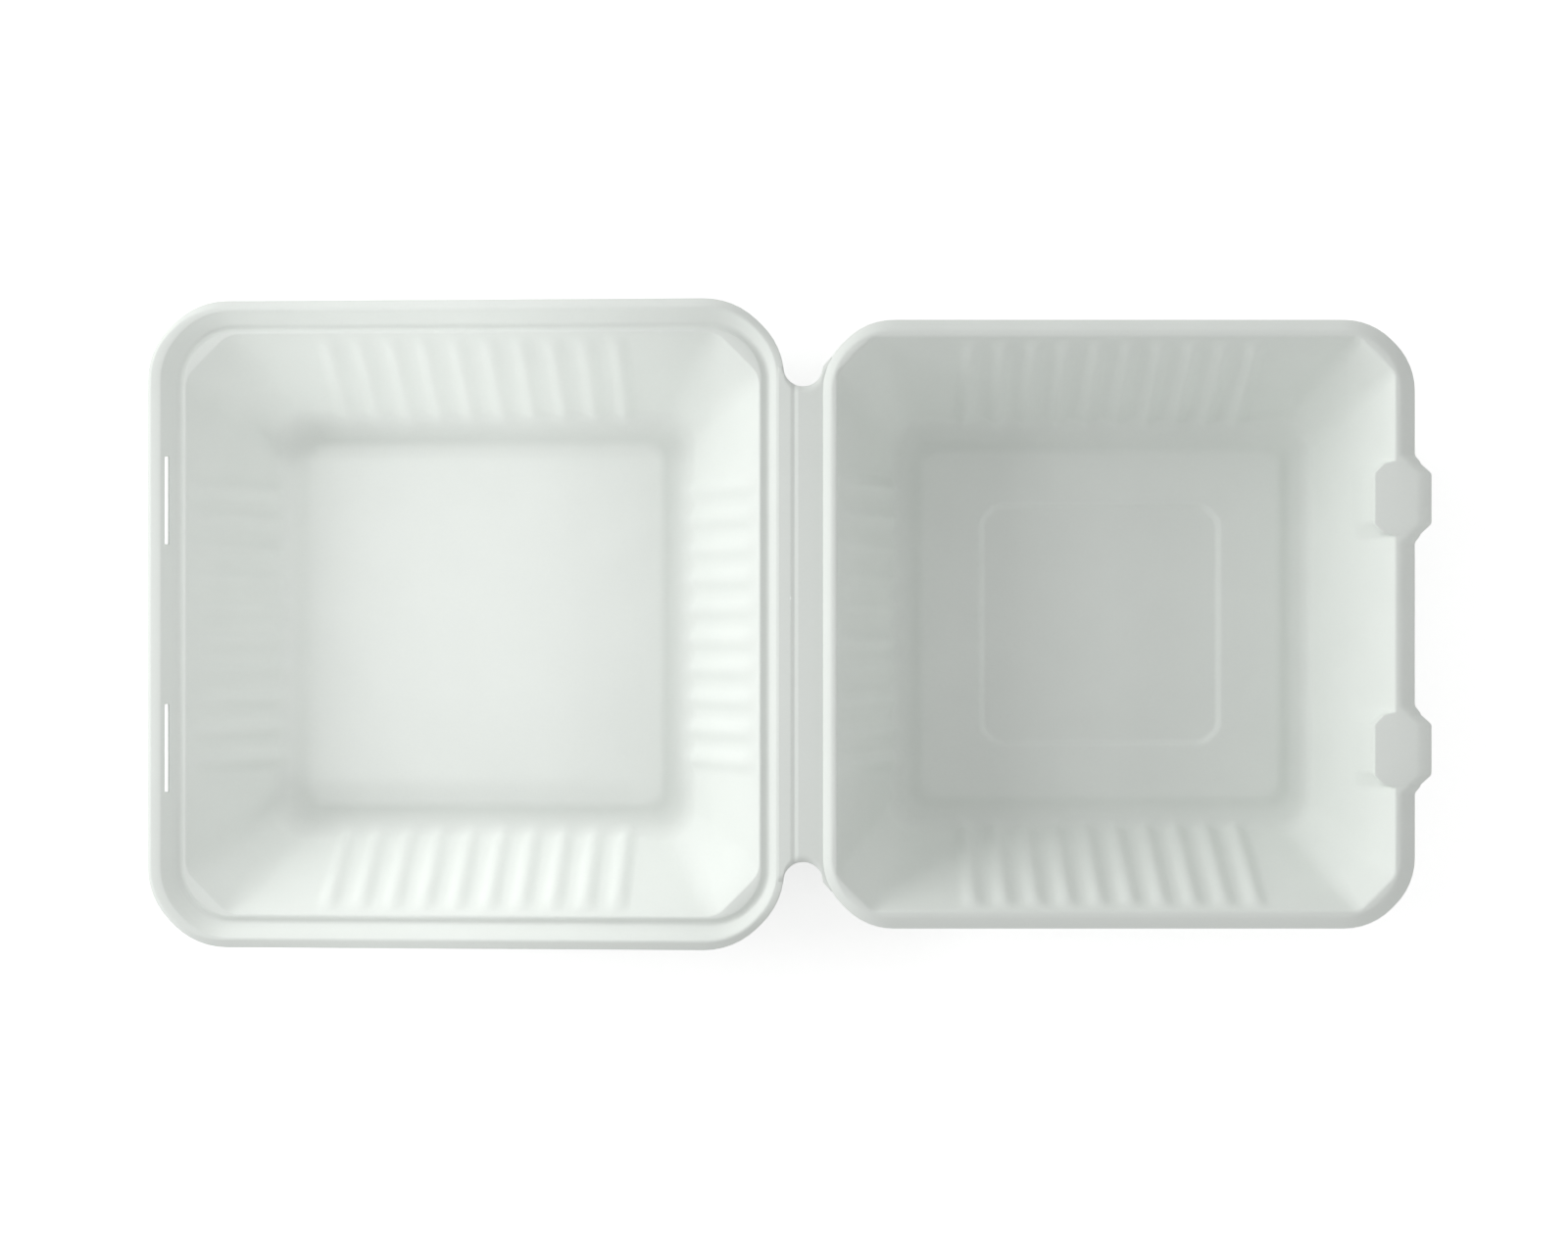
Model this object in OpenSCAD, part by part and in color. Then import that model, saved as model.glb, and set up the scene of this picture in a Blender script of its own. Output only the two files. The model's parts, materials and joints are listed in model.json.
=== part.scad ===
// Moulded pulp meal box, one piece with a hinged lid, lying open.
// Both trays are drawn in their own frame: X is the distance from the crease of the hinge,
// Y runs along the hinge and Z = 0 is the top of the hinge web. The lid is mirrored into place.

/* [Pulp] */
// Thickness of the moulded pulp
wall = 0.8; // [0.6:0.05:0.9]

/* [Base rim] */
// Length of the base's rim, away from the hinge
base_l = 210; // [190:1:230]
// Width of the base's rim, along the hinge
base_w = 216; // [200:1:230]
// Corner radius of the base's rim
base_corner = 25; // [22:0.5:30]
// Height of the rim's crest above the hinge web
bead_h = 3; // [2.4:0.1:3.6]
// Width of the slope outside the crest at the sides
bead_slope = 4; // [3:0.1:5]
// Width of that slope along the hinge
bead_hinge_slope = 2.8; // [2.4:0.1:4]
// Width of that slope at the front
bead_front_slope = 5.4; // [4:0.1:6]
// Width of the flat crest
bead_top = 2.2; // [1.6:0.1:3]

/* [Base pan] */
// Height of the hinge web above the table
base_h = 45; // [40:1:52]
// How far the front and hinge walls lean in from top to foot
base_lean_l = 21; // [16:0.5:26]
// How far the side walls lean in from top to foot
base_lean_w = 26; // [20:0.5:30]
// Size of each corner at the mouth
base_mouth_corner = 15; // [12:0.5:18]
// Radius that softens the two ends of each mouth corner's flat
base_mouth_blend = 6; // [3:0.5:10]
// Distance from one rib to the next
base_rib_pitch = 11.2; // [9:0.1:16]

/* [Square panel] */
// Width of the square pressed into the base's floor
panel_w = 90; // [60:1:100]
// Depth of the square
panel_depth = 1.5; // [0.6:0.1:1.5]
// Size of each corner of the square
panel_corner = 9; // [6:0.5:14]
// Radius that softens the two ends of each corner's flat
panel_blend = 4; // [2:0.5:6]
// Width of the slope round the square
panel_step = 2; // [1.4:0.1:4]

/* [Lid rim] */
// Width of the ridge that sits on the base's crest
ridge_top = 0.8; // [0.6:0.1:1.6]
// Height of the ridge above the channel round it
ridge_h = 0.9; // [0.6:0.1:1.5]
// Width of the ridge's outer flank
ridge_flank = 1.3; // [0.8:0.1:2]
// Width of the channel's flat bottom
channel_w = 1.3; // [0.8:0.1:2]
// Width of the skirt from the channel to the lip's crest
skirt_w = 4.6; // [3.8:0.1:5.2]
// Width of the skirt along the hinge, where the lip is lower
skirt_hinge_w = 3; // [2.4:0.1:3.3]
// Height of the lip's crest above the hinge web
lip_rise = 1.8; // [1.4:0.1:2.4]
// Width of the lip's flat crest
lip_top = 0.8; // [0.5:0.1:1.2]
// Width of the flat crest at the front
lip_front_top = 3.9; // [0.8:0.1:4.8]
// Drop from the lip's crest to its outer edge
lip_drop = 2.6; // [1.6:0.1:3.2]
// Width of the lip's outer slope at the sides
lip_w = 2.9; // [2:0.1:4]
// Width of the lip's outer slope at the front
lip_front_w = 1.6; // [1.4:0.1:4]
// Corner radius of the lid's rim
lid_corner = 28.5; // [25:0.5:32]

/* [Lid pan] */
// Depth of the lid from the hinge web to the underside of its foot
lid_depth = 36; // [28:1:40]
// How far the walls lean in from top to foot
lid_lean = 26.4; // [20:0.4:30]
// Size of each corner at the mouth
lid_mouth_corner = 18; // [15:0.5:21]
// Radius that softens the two ends of each mouth corner's flat
lid_mouth_blend = 9; // [4:0.5:14]
// Distance from one rib to the next on the side walls
lid_rib_pitch = 11.6; // [9:0.1:16]
// Distance from one rib to the next on the front and hinge walls
lid_front_rib_pitch = 11; // [9:0.1:16]

/* [Ribs] */
// How far each rib stands out of its wall
rib_depth = 1.6; // [1:0.1:2.8]
// Width of a rib where it leaves the wall
rib_foot = 7.4; // [5.6:0.1:8]
// Width of a rib's flat front
rib_crown = 2.6; // [2:0.1:3.4]
// Depth below the mouth at which a rib has its full form
rib_start = 5; // [3:0.5:8]
// Bare length of wall left beyond the last rib, from the end of the floor's corner
rib_margin = 14; // [10:0.5:24]

/* [Floors] */
// Corner radius of a floor
floor_corner = 9.5; // [7:0.5:14]
// Reach of the curve between wall and floor, along each of them
foot_curve = 2.6; // [1.5:0.1:3.4]
// Width of the gutter round the raised middle of the base's floor
gutter_w = 7.4; // [7.2:0.1:12]
// Width of the gutter round the raised middle of the lid's floor
lid_gutter_w = 7.2; // [7.2:0.1:12]
// Height of the raised middle above the gutter
plateau_h = 1.6; // [1.5:0.1:2.2]
// Width of the slope from the gutter to the raised middle
step_w = 4; // [2:0.1:5]
// Corner radius of the raised middle
plateau_corner = 7; // [5:0.5:10]

/* [Hinge] */
// Distance from the crease to the edge of the lid's rim
hinge_lid = 4; // [3.4:0.1:4.6]
// Distance from the crease to the edge of the base's rim
hinge_base = 10.2; // [9.6:0.1:12]
// Length of the web between its round notches
web_len = 169; // [140:1:174]
// How far the web's ends stop short of the middles of the notches
notch_cut = 2; // [1:0.5:4]
// How far the web runs in under the base's rim
web_lap = 1; // [0.6:0.1:1.4]
// How far the web stops short of the lid's skirt
web_stop = 0.3; // [0.1:0.1:0.6]
// Height of the fold's axis above the web
fold_rise = 0.7; // [0.6:0.05:0.9]
// Width of the groove pressed along the crease
crease_w = 2.8; // [1.6:0.1:3.6]
// Depth of that groove
crease_depth = 0.45; // [0.2:0.05:0.5]
// Gap between the two halves of the web at the crease
crease_gap = 0.3; // [0.2:0.05:0.4]

/* [Lock] */
// Distance between the middles of the two tabs
tab_spacing = 89; // [70:1:110]
// Length of a tab's flat pad
tab_len = 25; // [20:0.5:30]
// Chamfer at the pad's corners
tab_chamfer = 3.5; // [2.5:0.1:5]
// Reach of the pad over the base's mouth
tab_in = 7.4; // [5:0.1:8.4]
// Reach of the tab's tip past the base's rim
tab_out = 5.4; // [4.6:0.1:6]
// Width of the sloping lip round the tip
tab_slope = 4.5; // [3.4:0.1:5]
// Drop from the pad to the tip
tab_drop = 1.2; // [0.8:0.1:1.4]
// Length over which the tab's side runs out into the rim
tab_runout = 3.5; // [2:0.1:5]
// Height of the hollow column under each pad
tab_column = 22; // [14:1:30]

/* [Fit] */
// Play between the base's crest and the lid's mouth
ridge_play = 0.3; // [0.1:0.05:0.6]
// Height left between the lid's ridge and the base's crest when shut
seat_gap = 0.4; // [0.3:0.05:0.8]
// How far a tab's tip reaches into its slot when shut
tab_reach = 0.4; // [0:0.1:0.6]
// Room left at each end of a tab in its slot
slot_play = 3.2; // [2:0.1:4]
// Room left above and below a tab in its slot
slot_clear = 0.5; // [0.4:0.05:0.55]

/* [Hidden] */
pulp = [0.93, 0.95, 0.93];
corner_steps = 4;
// Lean and side width of the hollow column under a pad
column_draft = 0.03;
column_flank = 0.8;
// Share of its depth that a rib has halfway down to its full form, and the floor left at its foot
rib_swell = 0.62;
rib_clear = 0.6;
// Pull of the curve between wall and floor towards the corner that it rounds
foot_pull = 0.45;
// Distance outside the skirt's foot at which the cut of the slots starts
slot_from = 0.5;

// What a ring of points holds: a rounded rectangle at one height, with its share of the ribs
NEAR = 0;
FAR = 1;
HALF = 2;
CORNER = 3;
BLEND = 4;
Z = 5;
Z_HINGE = 6;
RIB = 7;
DENSE = 8;
TAB = 9;

// Base: places from the crease, and heights from the web
base_near = hinge_base;
base_far = hinge_base + base_l;
base_half = base_w / 2;
crest_near = base_near + bead_hinge_slope;
crest_far = base_far - bead_front_slope;
crest_half = base_half - bead_slope;
base_floor_z = wall - base_h;
tab_tip = base_far + tab_out;
tab_tip_z = bead_h - tab_drop;
base_mouth_near = crest_near + bead_top;
base_mouth_far = crest_far - bead_top;
base_mouth_half = crest_half - bead_top;

// Lid: its mouth stands just outside the base's crest, and its skirt meets the tabs' tips
ridge_z = 2 * fold_rise - bead_h - seat_gap;
channel_z = ridge_z - ridge_h;
skirt_h = lip_rise - channel_z;
tip_depth = 2 * fold_rise - channel_z - tab_tip_z;
rim_in = ridge_top + ridge_flank + channel_w;
lid_floor_z = wall - lid_depth;
lid_mouth_near = crest_near - ridge_play;
lid_mouth_far = tab_tip - tab_reach - tip_depth * skirt_w / skirt_h - rim_in;
lid_mouth_half = crest_half + ridge_play;

// Slots in the lid's skirt, at the height of the tabs' tips when the box is shut
slot_z = 2 * fold_rise - tab_tip_z + wall / 2;
slot_h = wall + 2 * slot_clear;
slot_len = tab_len + 2 * slot_play;

// Web between the two rims, with a round notch at each end
notch_r = (hinge_lid + hinge_base) / 2;
notch_y = web_len / 2 + notch_r;
web_half = notch_y - notch_cut;

function clamp(v) = max(0, min(1, v));
function mix(a, b, t) = a + (b - a) * t;

// A rounded rectangle; all of its insets are measured from the ring's own sides
function ring(near, far, half, corner, blend, z, rib = 0, dense = false, tab = 0, z_hinge = undef) =
    [near, far, half, corner, blend, z, is_undef(z_hinge) ? z : z_hinge, rib, dense, tab];

// The ring at share t of the way from ring a down to ring b
function between(a, b, t, rib, tab = 0) =
    concat([for (i = [NEAR:Z_HINGE]) mix(a[i], b[i], t)], [rib, true, tab]);

// The ring moved in by d and to height z
function inset(r, d, z, rib = 0, dense = false) =
    ring(r[NEAR] + d, r[FAR] - d, r[HALF] - d, max(1, r[CORNER] - d), max(1, r[BLEND] - d), z, rib, dense);

// Wall and floor of a pan, from the mouth ring down to the foot ring and in to the plateau
function pan(mouth, foot, gutter, column_t, columns) =
    let (
        rise = mouth[Z] - foot[Z],
        slant = norm([mouth[HALF] - foot[HALF], rise]),
        floor_z = foot[Z],
        toe = inset(foot, foot_curve, floor_z, 1, true),
        heel = between(mouth, foot, 1 - foot_curve / slant, 1)
    )
    concat(
        [mouth],
        [between(mouth, foot, rib_start / 2 / rise, rib_swell, columns[0])],
        [between(mouth, foot, rib_start / rise, 1, columns[1])],
        column_t > 0 ? [between(mouth, foot, column_t / rise, 1)] : [],
        [heel],
        [between(between(heel, toe, 0.5, 1), foot, foot_pull, 1)],
        [toe],
        [inset(foot, foot_curve + rib_depth + rib_clear, floor_z, 0, true)],
        [raised(inset(foot, gutter, floor_z))],
        [raised(inset(foot, gutter + step_w, floor_z + plateau_h))]
    );

// The same ring with the plateau's own corners
function raised(r) = ring(r[NEAR], r[FAR], r[HALF], plateau_corner, plateau_corner, r[Z]);

// Inner face of the hollow column under a pad, at depth d below the crest
function column_x(d) = base_mouth_far - tab_in - column_draft * d;

base_mouth = ring(
    base_mouth_near, base_mouth_far, base_mouth_half,
    base_mouth_corner, base_mouth_blend, bead_h, 0, true, [column_x(0), bead_h]
);
base_foot = ring(
    base_mouth_near + base_lean_l, base_mouth_far - base_lean_l, base_mouth_half - base_lean_w,
    floor_corner, floor_corner, base_floor_z
);
base_mid = (base_mouth_near + base_mouth_far) / 2;
panel_edge = ring(
    base_mid - panel_w / 2, base_mid + panel_w / 2, panel_w / 2,
    panel_corner, panel_blend, base_floor_z + plateau_h
);
base_rings = concat(
    [ring(
        base_near, base_far, base_half, base_corner, base_corner, 0,
        dense = true, tab = [tab_tip, tab_tip_z]
    )],
    [ring(
        crest_near, crest_far, crest_half,
        base_corner - bead_slope, base_corner - bead_slope, bead_h,
        dense = true, tab = [tab_tip - tab_slope, bead_h]
    )],
    pan(
        base_mouth, base_foot, gutter_w, tab_column,
        [[column_x(rib_start / 2), 0], [column_x(rib_start), 0]]
    ),
    [panel_edge],
    [inset(panel_edge, panel_step, base_floor_z + plateau_h - panel_depth)]
);

lid_mouth = ring(
    lid_mouth_near, lid_mouth_far, lid_mouth_half,
    lid_mouth_corner, lid_mouth_blend, ridge_z, 0, true
);
lid_foot = ring(
    lid_mouth_near + lid_lean, lid_mouth_far - lid_lean, lid_mouth_half - lid_lean,
    floor_corner, floor_corner, lid_floor_z
);

// The lid's rim ring that stands out by d, and by d_hinge at the hinge
function rim(d, d_hinge, d_front, r, z, z_hinge) =
    ring(
        lid_mouth_near - d_hinge, lid_mouth_far + d_front, lid_mouth_half + d,
        r, r, z, z_hinge = z_hinge
    );

crest_out = rim_in + skirt_w + lip_top;
crest_front_out = rim_in + skirt_w + lip_front_top;
lid_edge_z = lip_rise - lip_drop;
lid_rings = concat(
    [rim(crest_out + lip_w, lid_mouth_near - hinge_lid, crest_front_out + lip_front_w,
        lid_corner, lid_edge_z, 0)],
    [rim(crest_out, rim_in + skirt_hinge_w + lip_top, crest_front_out,
        lid_corner - lip_w, lip_rise, 0)],
    [rim(rim_in + skirt_w, rim_in + skirt_hinge_w, rim_in + skirt_w,
        lid_corner - lip_w - lip_top, lip_rise, 0)],
    [rim(rim_in, rim_in, rim_in, lid_mouth_corner + channel_w + ridge_flank, channel_z, channel_z)],
    [rim(ridge_top + ridge_flank, ridge_top + ridge_flank, ridge_top + ridge_flank,
        lid_mouth_corner + ridge_flank, channel_z, channel_z)],
    [rim(ridge_top, ridge_top, ridge_top, lid_mouth_corner, ridge_z, ridge_z)],
    pan(lid_mouth, lid_foot, lid_gutter_w, 0, [0, 0])
);

// Columns of points: each ring has one point in each, so that neighbouring rings join up.
// A column on a side is [side, along, rib, kept, early], one at a corner adds its quarter and angle.
SIDE_FRONT = 0;
SIDE_LEFT = 1;
SIDE_HINGE = 2;
SIDE_RIGHT = 3;
CORNER_COLUMN = 4;

function rib_columns(side, middle, length, pitch, shift, way) =
    let (
        count = floor((length - 2 * rib_margin) / pitch) + 1,
        foot = rib_foot / 2 - shift,
        crown = rib_crown / 2 - shift
    )
    [for (i = [0:count - 1])
        for (p = [[-foot, 0], [-crown, 1], [crown, 1], [foot, 0]])
            let (along = (i - (count - 1) / 2) * pitch + p[0])
            [side, middle + way * along, p[1], false, along < 0]
    ];

function tab_columns(shift) =
    let (
        core = tab_len / 2 - tab_chamfer - shift,
        end = tab_len / 2 - shift,
        side = end + column_flank,
        out = end + tab_runout
    )
    [for (mid = [-tab_spacing / 2, tab_spacing / 2])
        for (v = [-out, -side, -end, -core, core, end, side, out])
            [SIDE_FRONT, mid + v, 0, false, mid + v < 0, abs(v), [core, end, out]]
    ];

function corner_columns(qx, qy, way) =
    let (angles = [for (arc = [0, 1]) for (i = [0:corner_steps]) [arc, (arc + i / corner_steps) * 45]])
    [for (i = [0:len(angles) - 1])
        let (a = angles[way > 0 ? i : len(angles) - 1 - i])
        [CORNER_COLUMN, qx, qy, true, false, a[0], a[1]]
    ];

function columns(front, side_pitch, hinge_pitch, foot, shift) =
    let (
        mid = (foot[NEAR] + foot[FAR]) / 2,
        along_x = foot[FAR] - foot[NEAR] - 2 * foot[CORNER],
        along_y = 2 * foot[HALF] - 2 * foot[CORNER]
    )
    concat(
        front,
        corner_columns(1, 1, 1),
        rib_columns(SIDE_LEFT, mid, along_x, side_pitch, shift, -1),
        corner_columns(-1, 1, -1),
        rib_columns(SIDE_HINGE, 0, along_y, hinge_pitch, shift, -1),
        corner_columns(-1, -1, 1),
        rib_columns(SIDE_RIGHT, mid, along_x, side_pitch, shift, 1),
        corner_columns(1, -1, -1)
    );

// Where a tab moves the front side of ring r: out round its tip, in round its hollow column
function tab_point(r, c) =
    let (
        v = c[5],
        core = c[6][0],
        end = c[6][1],
        out = c[6][2],
        cut = max(0, min(v, end) - core),
        outward = r[TAB][0] > r[FAR],
        fade = clamp((out - v) / (out - end)),
        x_end = max(r[FAR], r[TAB][0] - cut),
        x = outward
            ? mix(r[FAR], x_end, fade)
            : v > end + column_flank / 2 ? r[FAR] : min(r[FAR], r[TAB][0] + cut),
        z = outward ? mix(r[Z], r[TAB][1], clamp((x - r[FAR]) / (r[TAB][0] - r[FAR]))) : r[Z]
    )
    [x, c[1], z];

function corner_point(r, c) =
    let (
        qx = c[1],
        x = qx > 0 ? r[FAR] : r[NEAR],
        u = c[5] == 0 ? r[BLEND] : r[CORNER],
        v = c[5] == 0 ? r[CORNER] : r[BLEND]
    )
    [x + qx * (r[BLEND] * cos(c[6]) - u), c[2] * (r[HALF] - v + r[BLEND] * sin(c[6])), r[Z]];

function side_point(r, c) =
    let (push = rib_depth * r[RIB] * c[2])
    c[0] == SIDE_FRONT ? [r[FAR] - push, c[1], r[Z]]
    : c[0] == SIDE_HINGE ? [r[NEAR] + push, c[1], r[Z]]
    : [c[1], (c[0] == SIDE_LEFT ? 1 : -1) * (r[HALF] - push), r[Z]];

// The lip is lower along the hinge, and climbs to its full height round the two near corners
function hinge_drop(r, p) =
    [p[0], p[1], p[2] + (r[Z_HINGE] - r[Z]) * (1 - clamp((p[0] - r[NEAR]) / r[CORNER]))];

function column_point(r, c) =
    hinge_drop(
        r,
        c[0] == CORNER_COLUMN ? corner_point(r, c)
        : len(c) > 5 && r[TAB] != 0 ? tab_point(r, c)
        : side_point(r, c)
    );

// Offset of the underside at ring k, from the profile's mitred normal
function upper_normal(a, b) =
    let (d = [b[HALF] - a[HALF], b[Z] - a[Z]])
    [d[1], -d[0]] / norm(d);

function under_offset(rings, k) =
    let (
        last = len(rings) - 1,
        n1 = upper_normal(rings[max(0, k - 1)], rings[max(1, k)]),
        n2 = k == last ? [0, 1] : upper_normal(rings[k], rings[k + 1])
    )
    -wall * (n1 + n2) / (1 + n1 * n2);

function under_ring(r, o) =
    [
        r[NEAR] - o[0], r[FAR] + o[0], r[HALF] + o[0], r[CORNER] + o[0], r[BLEND] + o[0],
        r[Z] + o[1], r[Z_HINGE] + o[1], r[RIB], r[DENSE],
        r[TAB] == 0 ? 0 : [r[TAB][0] + o[0], r[TAB][1] + o[1]]
    ];

function under_rings(rings) =
    [for (k = [0:len(rings) - 1]) under_ring(rings[k], under_offset(rings, k))];

// A plain ring keeps only some columns, and the nearest kept point stands in for the others
function starts(rings, all, kept) =
    [for (k = 0, n = 0; k < len(rings); n = n + (rings[k][DENSE] ? all : kept), k = k + 1) n];

function mates(cols) =
    let (
        before = [for (i = 0, n = 0; i < len(cols); n = n + (cols[i][3] ? 1 : 0), i = i + 1) n],
        kept = len([for (c = cols) if (c[3]) c])
    )
    [for (i = [0:len(cols) - 1])
        cols[i][3] || !cols[i][4] ? before[i] % kept : (before[i] + kept - 1) % kept
    ];

function triangle(a, b, c) = a == b || b == c || c == a ? [] : [[a, b, c]];

function ring_points(r, cols) = [for (c = cols) if (r[DENSE] || c[3]) column_point(r, c)];

// One closed skin of pulp: the upper side, the underside and the cut edge of the rim
module shell(rings, upper, under) {
    all = len(upper);
    mate = mates(upper);
    kept = len([for (c = upper) if (c[3]) c]);
    start = starts(rings, all, kept);
    lower_rings = under_rings(rings);
    last = len(rings) - 1;
    total = start[last] + (rings[last][DENSE] ? all : kept);
    function at(k, j) = start[k] + (rings[k][DENSE] ? j % all : mate[j % all]);
    points = concat(
        [for (r = rings) each ring_points(r, upper)],
        [for (r = lower_rings) each ring_points(r, under)]
    );
    faces = concat(
        [for (k = [0:last - 1]) for (j = [0:all - 1]) each concat(
            triangle(at(k, j), at(k + 1, j), at(k + 1, j + 1)),
            triangle(at(k, j), at(k + 1, j + 1), at(k, j + 1)),
            triangle(total + at(k, j), total + at(k + 1, j + 1), total + at(k + 1, j)),
            triangle(total + at(k, j), total + at(k, j + 1), total + at(k + 1, j + 1))
        )],
        [for (j = [0:all - 1]) each concat(
            triangle(at(0, j), at(0, j + 1), total + at(0, j + 1)),
            triangle(at(0, j), total + at(0, j + 1), total + at(0, j))
        )],
        [[for (j = [kept - 1:-1:0]) start[last] + j]],
        [[for (j = [0:kept - 1]) total + start[last] + j]]
    );
    polyhedron(points = points, faces = faces);
}

// Half of the hinge web, from the crease to the rim that it carries
module web(reach, notch_x) {
    difference() {
        translate([0, web_half, 0]) {
            rotate([90, 0, 0]) {
                linear_extrude(2 * web_half) {
                    polygon([
                        [crease_gap / 2, -wall],
                        [reach, -wall],
                        [reach, 0],
                        [crease_w / 2, 0],
                        [crease_gap / 2, -crease_depth]
                    ]);
                }
            }
        }
        for (side = [-1, 1]) {
            translate([notch_x, side * notch_y, -2 * wall]) {
                cylinder(h = 4 * wall, r = notch_r, $fn = 96);
            }
        }
    }
}

rib_shift = wall * tan(atan2(rib_depth, (rib_foot - rib_crown) / 2) / 2);
tab_shift = 0.8 * wall;

module base() {
    color(pulp) {
        translate([hinge_x, 0, base_h]) {
            shell(
                base_rings,
                columns(tab_columns(0), base_rib_pitch, base_rib_pitch, base_foot, 0),
                columns(tab_columns(tab_shift), base_rib_pitch, base_rib_pitch, base_foot, rib_shift)
            );
            web(hinge_base + web_lap, (hinge_base - hinge_lid) / 2);
        }
    }
}

function lid_columns(shift) =
    let (along_y = 2 * lid_foot[HALF] - 2 * lid_foot[CORNER])
    columns(
        rib_columns(SIDE_FRONT, 0, along_y, lid_front_rib_pitch, shift, 1),
        lid_rib_pitch, lid_front_rib_pitch, lid_foot, shift
    );

// The open lid leans down until the front of its foot stands on the table
lid_under = under_rings(lid_rings);
lid_toe = lid_under[len(lid_rings) - 4];
foot_reach = norm([lid_toe[FAR], lid_toe[Z] - fold_rise]);
open_tilt = asin((base_h + fold_rise) / foot_reach) - atan2(fold_rise - lid_toe[Z], lid_toe[FAR]);

// The frame's origin is under the middle of the open box
lid_reach = lid_rings[0][FAR] * cos(open_tilt) + (lid_rings[0][Z] - fold_rise) * sin(open_tilt);
hinge_x = (lid_reach - tab_tip) / 2;

module lid() {
    skirt_foot = lid_mouth_far + rim_in;
    color(pulp) {
        translate([hinge_x, 0, base_h + fold_rise]) {
            rotate([0, -open_tilt, 0]) {
                translate([0, 0, -fold_rise]) {
                    mirror([1, 0, 0]) {
                        difference() {
                            union() {
                                shell(lid_rings, lid_columns(0), lid_columns(rib_shift));
                                web(
                                    lid_mouth_near - rim_in - skirt_hinge_w - web_stop,
                                    (hinge_lid - hinge_base) / 2
                                );
                            }
                            for (side = [-1, 1]) {
                                translate([
                                    skirt_foot + slot_from,
                                    side * tab_spacing / 2 - slot_len / 2,
                                    slot_z - slot_h / 2
                                ]) {
                                    cube([skirt_w, slot_len, slot_h]);
                                }
                            }
                        }
                    }
                }
            }
        }
    }
}

base();
lid();
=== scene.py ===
"""A moulded pulp meal box lying open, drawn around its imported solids."""

import json
import math

import bpy
import numpy as np
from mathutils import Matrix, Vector


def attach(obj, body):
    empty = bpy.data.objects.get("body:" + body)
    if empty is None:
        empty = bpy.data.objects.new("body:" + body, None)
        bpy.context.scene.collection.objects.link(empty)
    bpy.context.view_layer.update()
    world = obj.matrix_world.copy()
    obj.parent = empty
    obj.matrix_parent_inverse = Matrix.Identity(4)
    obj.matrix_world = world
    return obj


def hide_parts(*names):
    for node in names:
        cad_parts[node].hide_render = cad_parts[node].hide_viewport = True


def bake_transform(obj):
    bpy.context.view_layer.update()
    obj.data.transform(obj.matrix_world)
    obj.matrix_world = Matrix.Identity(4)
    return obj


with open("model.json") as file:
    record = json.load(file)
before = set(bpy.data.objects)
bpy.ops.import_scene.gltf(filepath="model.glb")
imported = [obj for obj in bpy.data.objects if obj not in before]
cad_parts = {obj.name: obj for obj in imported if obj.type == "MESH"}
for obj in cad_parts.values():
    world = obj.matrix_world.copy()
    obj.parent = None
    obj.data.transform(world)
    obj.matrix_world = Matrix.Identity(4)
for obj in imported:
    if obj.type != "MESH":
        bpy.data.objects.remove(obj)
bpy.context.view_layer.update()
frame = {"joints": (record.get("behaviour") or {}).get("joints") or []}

# Camera
# It hangs over the open box and looks straight down, a little to the lid's side of the
# crease, on a lens a touch longer than normal.

CAMERA_HEIGHT = 0.945
CAMERA_OFF_CREASE = 0.00365
CAMERA_OFF_MIDDLE = 0.001
joint = frame["joints"][0]
crease_x = joint["pos_m"][0]
camera_data = bpy.data.cameras.new("camera")
camera_data.lens = 58.2
camera_data.sensor_width = 36.0
camera = bpy.data.objects.new("camera", camera_data)
camera.location = (crease_x - CAMERA_OFF_CREASE, -CAMERA_OFF_MIDDLE, CAMERA_HEIGHT)
bpy.context.scene.collection.objects.link(camera)
bpy.context.scene.camera = camera


# Pulp
# Sugar-cane fibre pressed wet between two tools and dried hot: nearly white with a cool,
# faintly green cast, matt, with short fibres and soft clouds of thicker and thinner stock.

PULP_THIN = (0.773, 0.808, 0.776, 1.0)
PULP_THICK = (0.799, 0.834, 0.801, 1.0)
CLOUDS_PER_M = 46.0
GRAINS_PER_M = 900.0
FIBRES_PER_M = 620.0
CROSS_FIBRES_PER_M = 540.0
FIBRE_HEIGHT = 0.00012


class Node:
    """A shader socket with the arithmetic that a material needs, each step one Math node."""

    tree = None

    def __init__(self, socket):
        self.socket = socket

    @classmethod
    def make(cls, kind, settings=None, **values):
        """A node of this type: its settings first, then values or links for its sockets.
        A socket is named with _ for a space, or by _ and its number."""
        node = cls.tree.nodes.new(kind)
        for name, value in (settings or {}).items():
            if name == "stops":
                ramp = node.color_ramp
                while len(ramp.elements) < len(value):
                    ramp.elements.new(1.0)
                for element, (place, colour) in zip(ramp.elements, value):
                    element.position = place
                    element.color = colour
            else:
                setattr(node, name, value)
        for name, value in values.items():
            socket = node.inputs[int(name[1:])] if name[0] == "_" else node.inputs[name.replace("_", " ")]
            if isinstance(value, Node):
                cls.tree.links.new(value.socket, socket)
            else:
                socket.default_value = value
        return node

    def step(self, operation, other):
        node = Node.make("ShaderNodeMath", {"operation": operation}, _0=self, _1=other)
        return Node(node.outputs[0])

    def __add__(self, other):
        return self.step("ADD", other)

    __radd__ = __add__

    def __mul__(self, other):
        return self.step("MULTIPLY", other)

    __rmul__ = __mul__


def noise(place, scale, detail, rough=0.5):
    """Noise of this many waves a metre, with detail finer layers, each rough times as strong."""
    node = Node.make("ShaderNodeTexNoise", None, Vector=place, Scale=scale, Detail=detail, Roughness=rough)
    return Node(node.outputs["Fac"])


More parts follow.
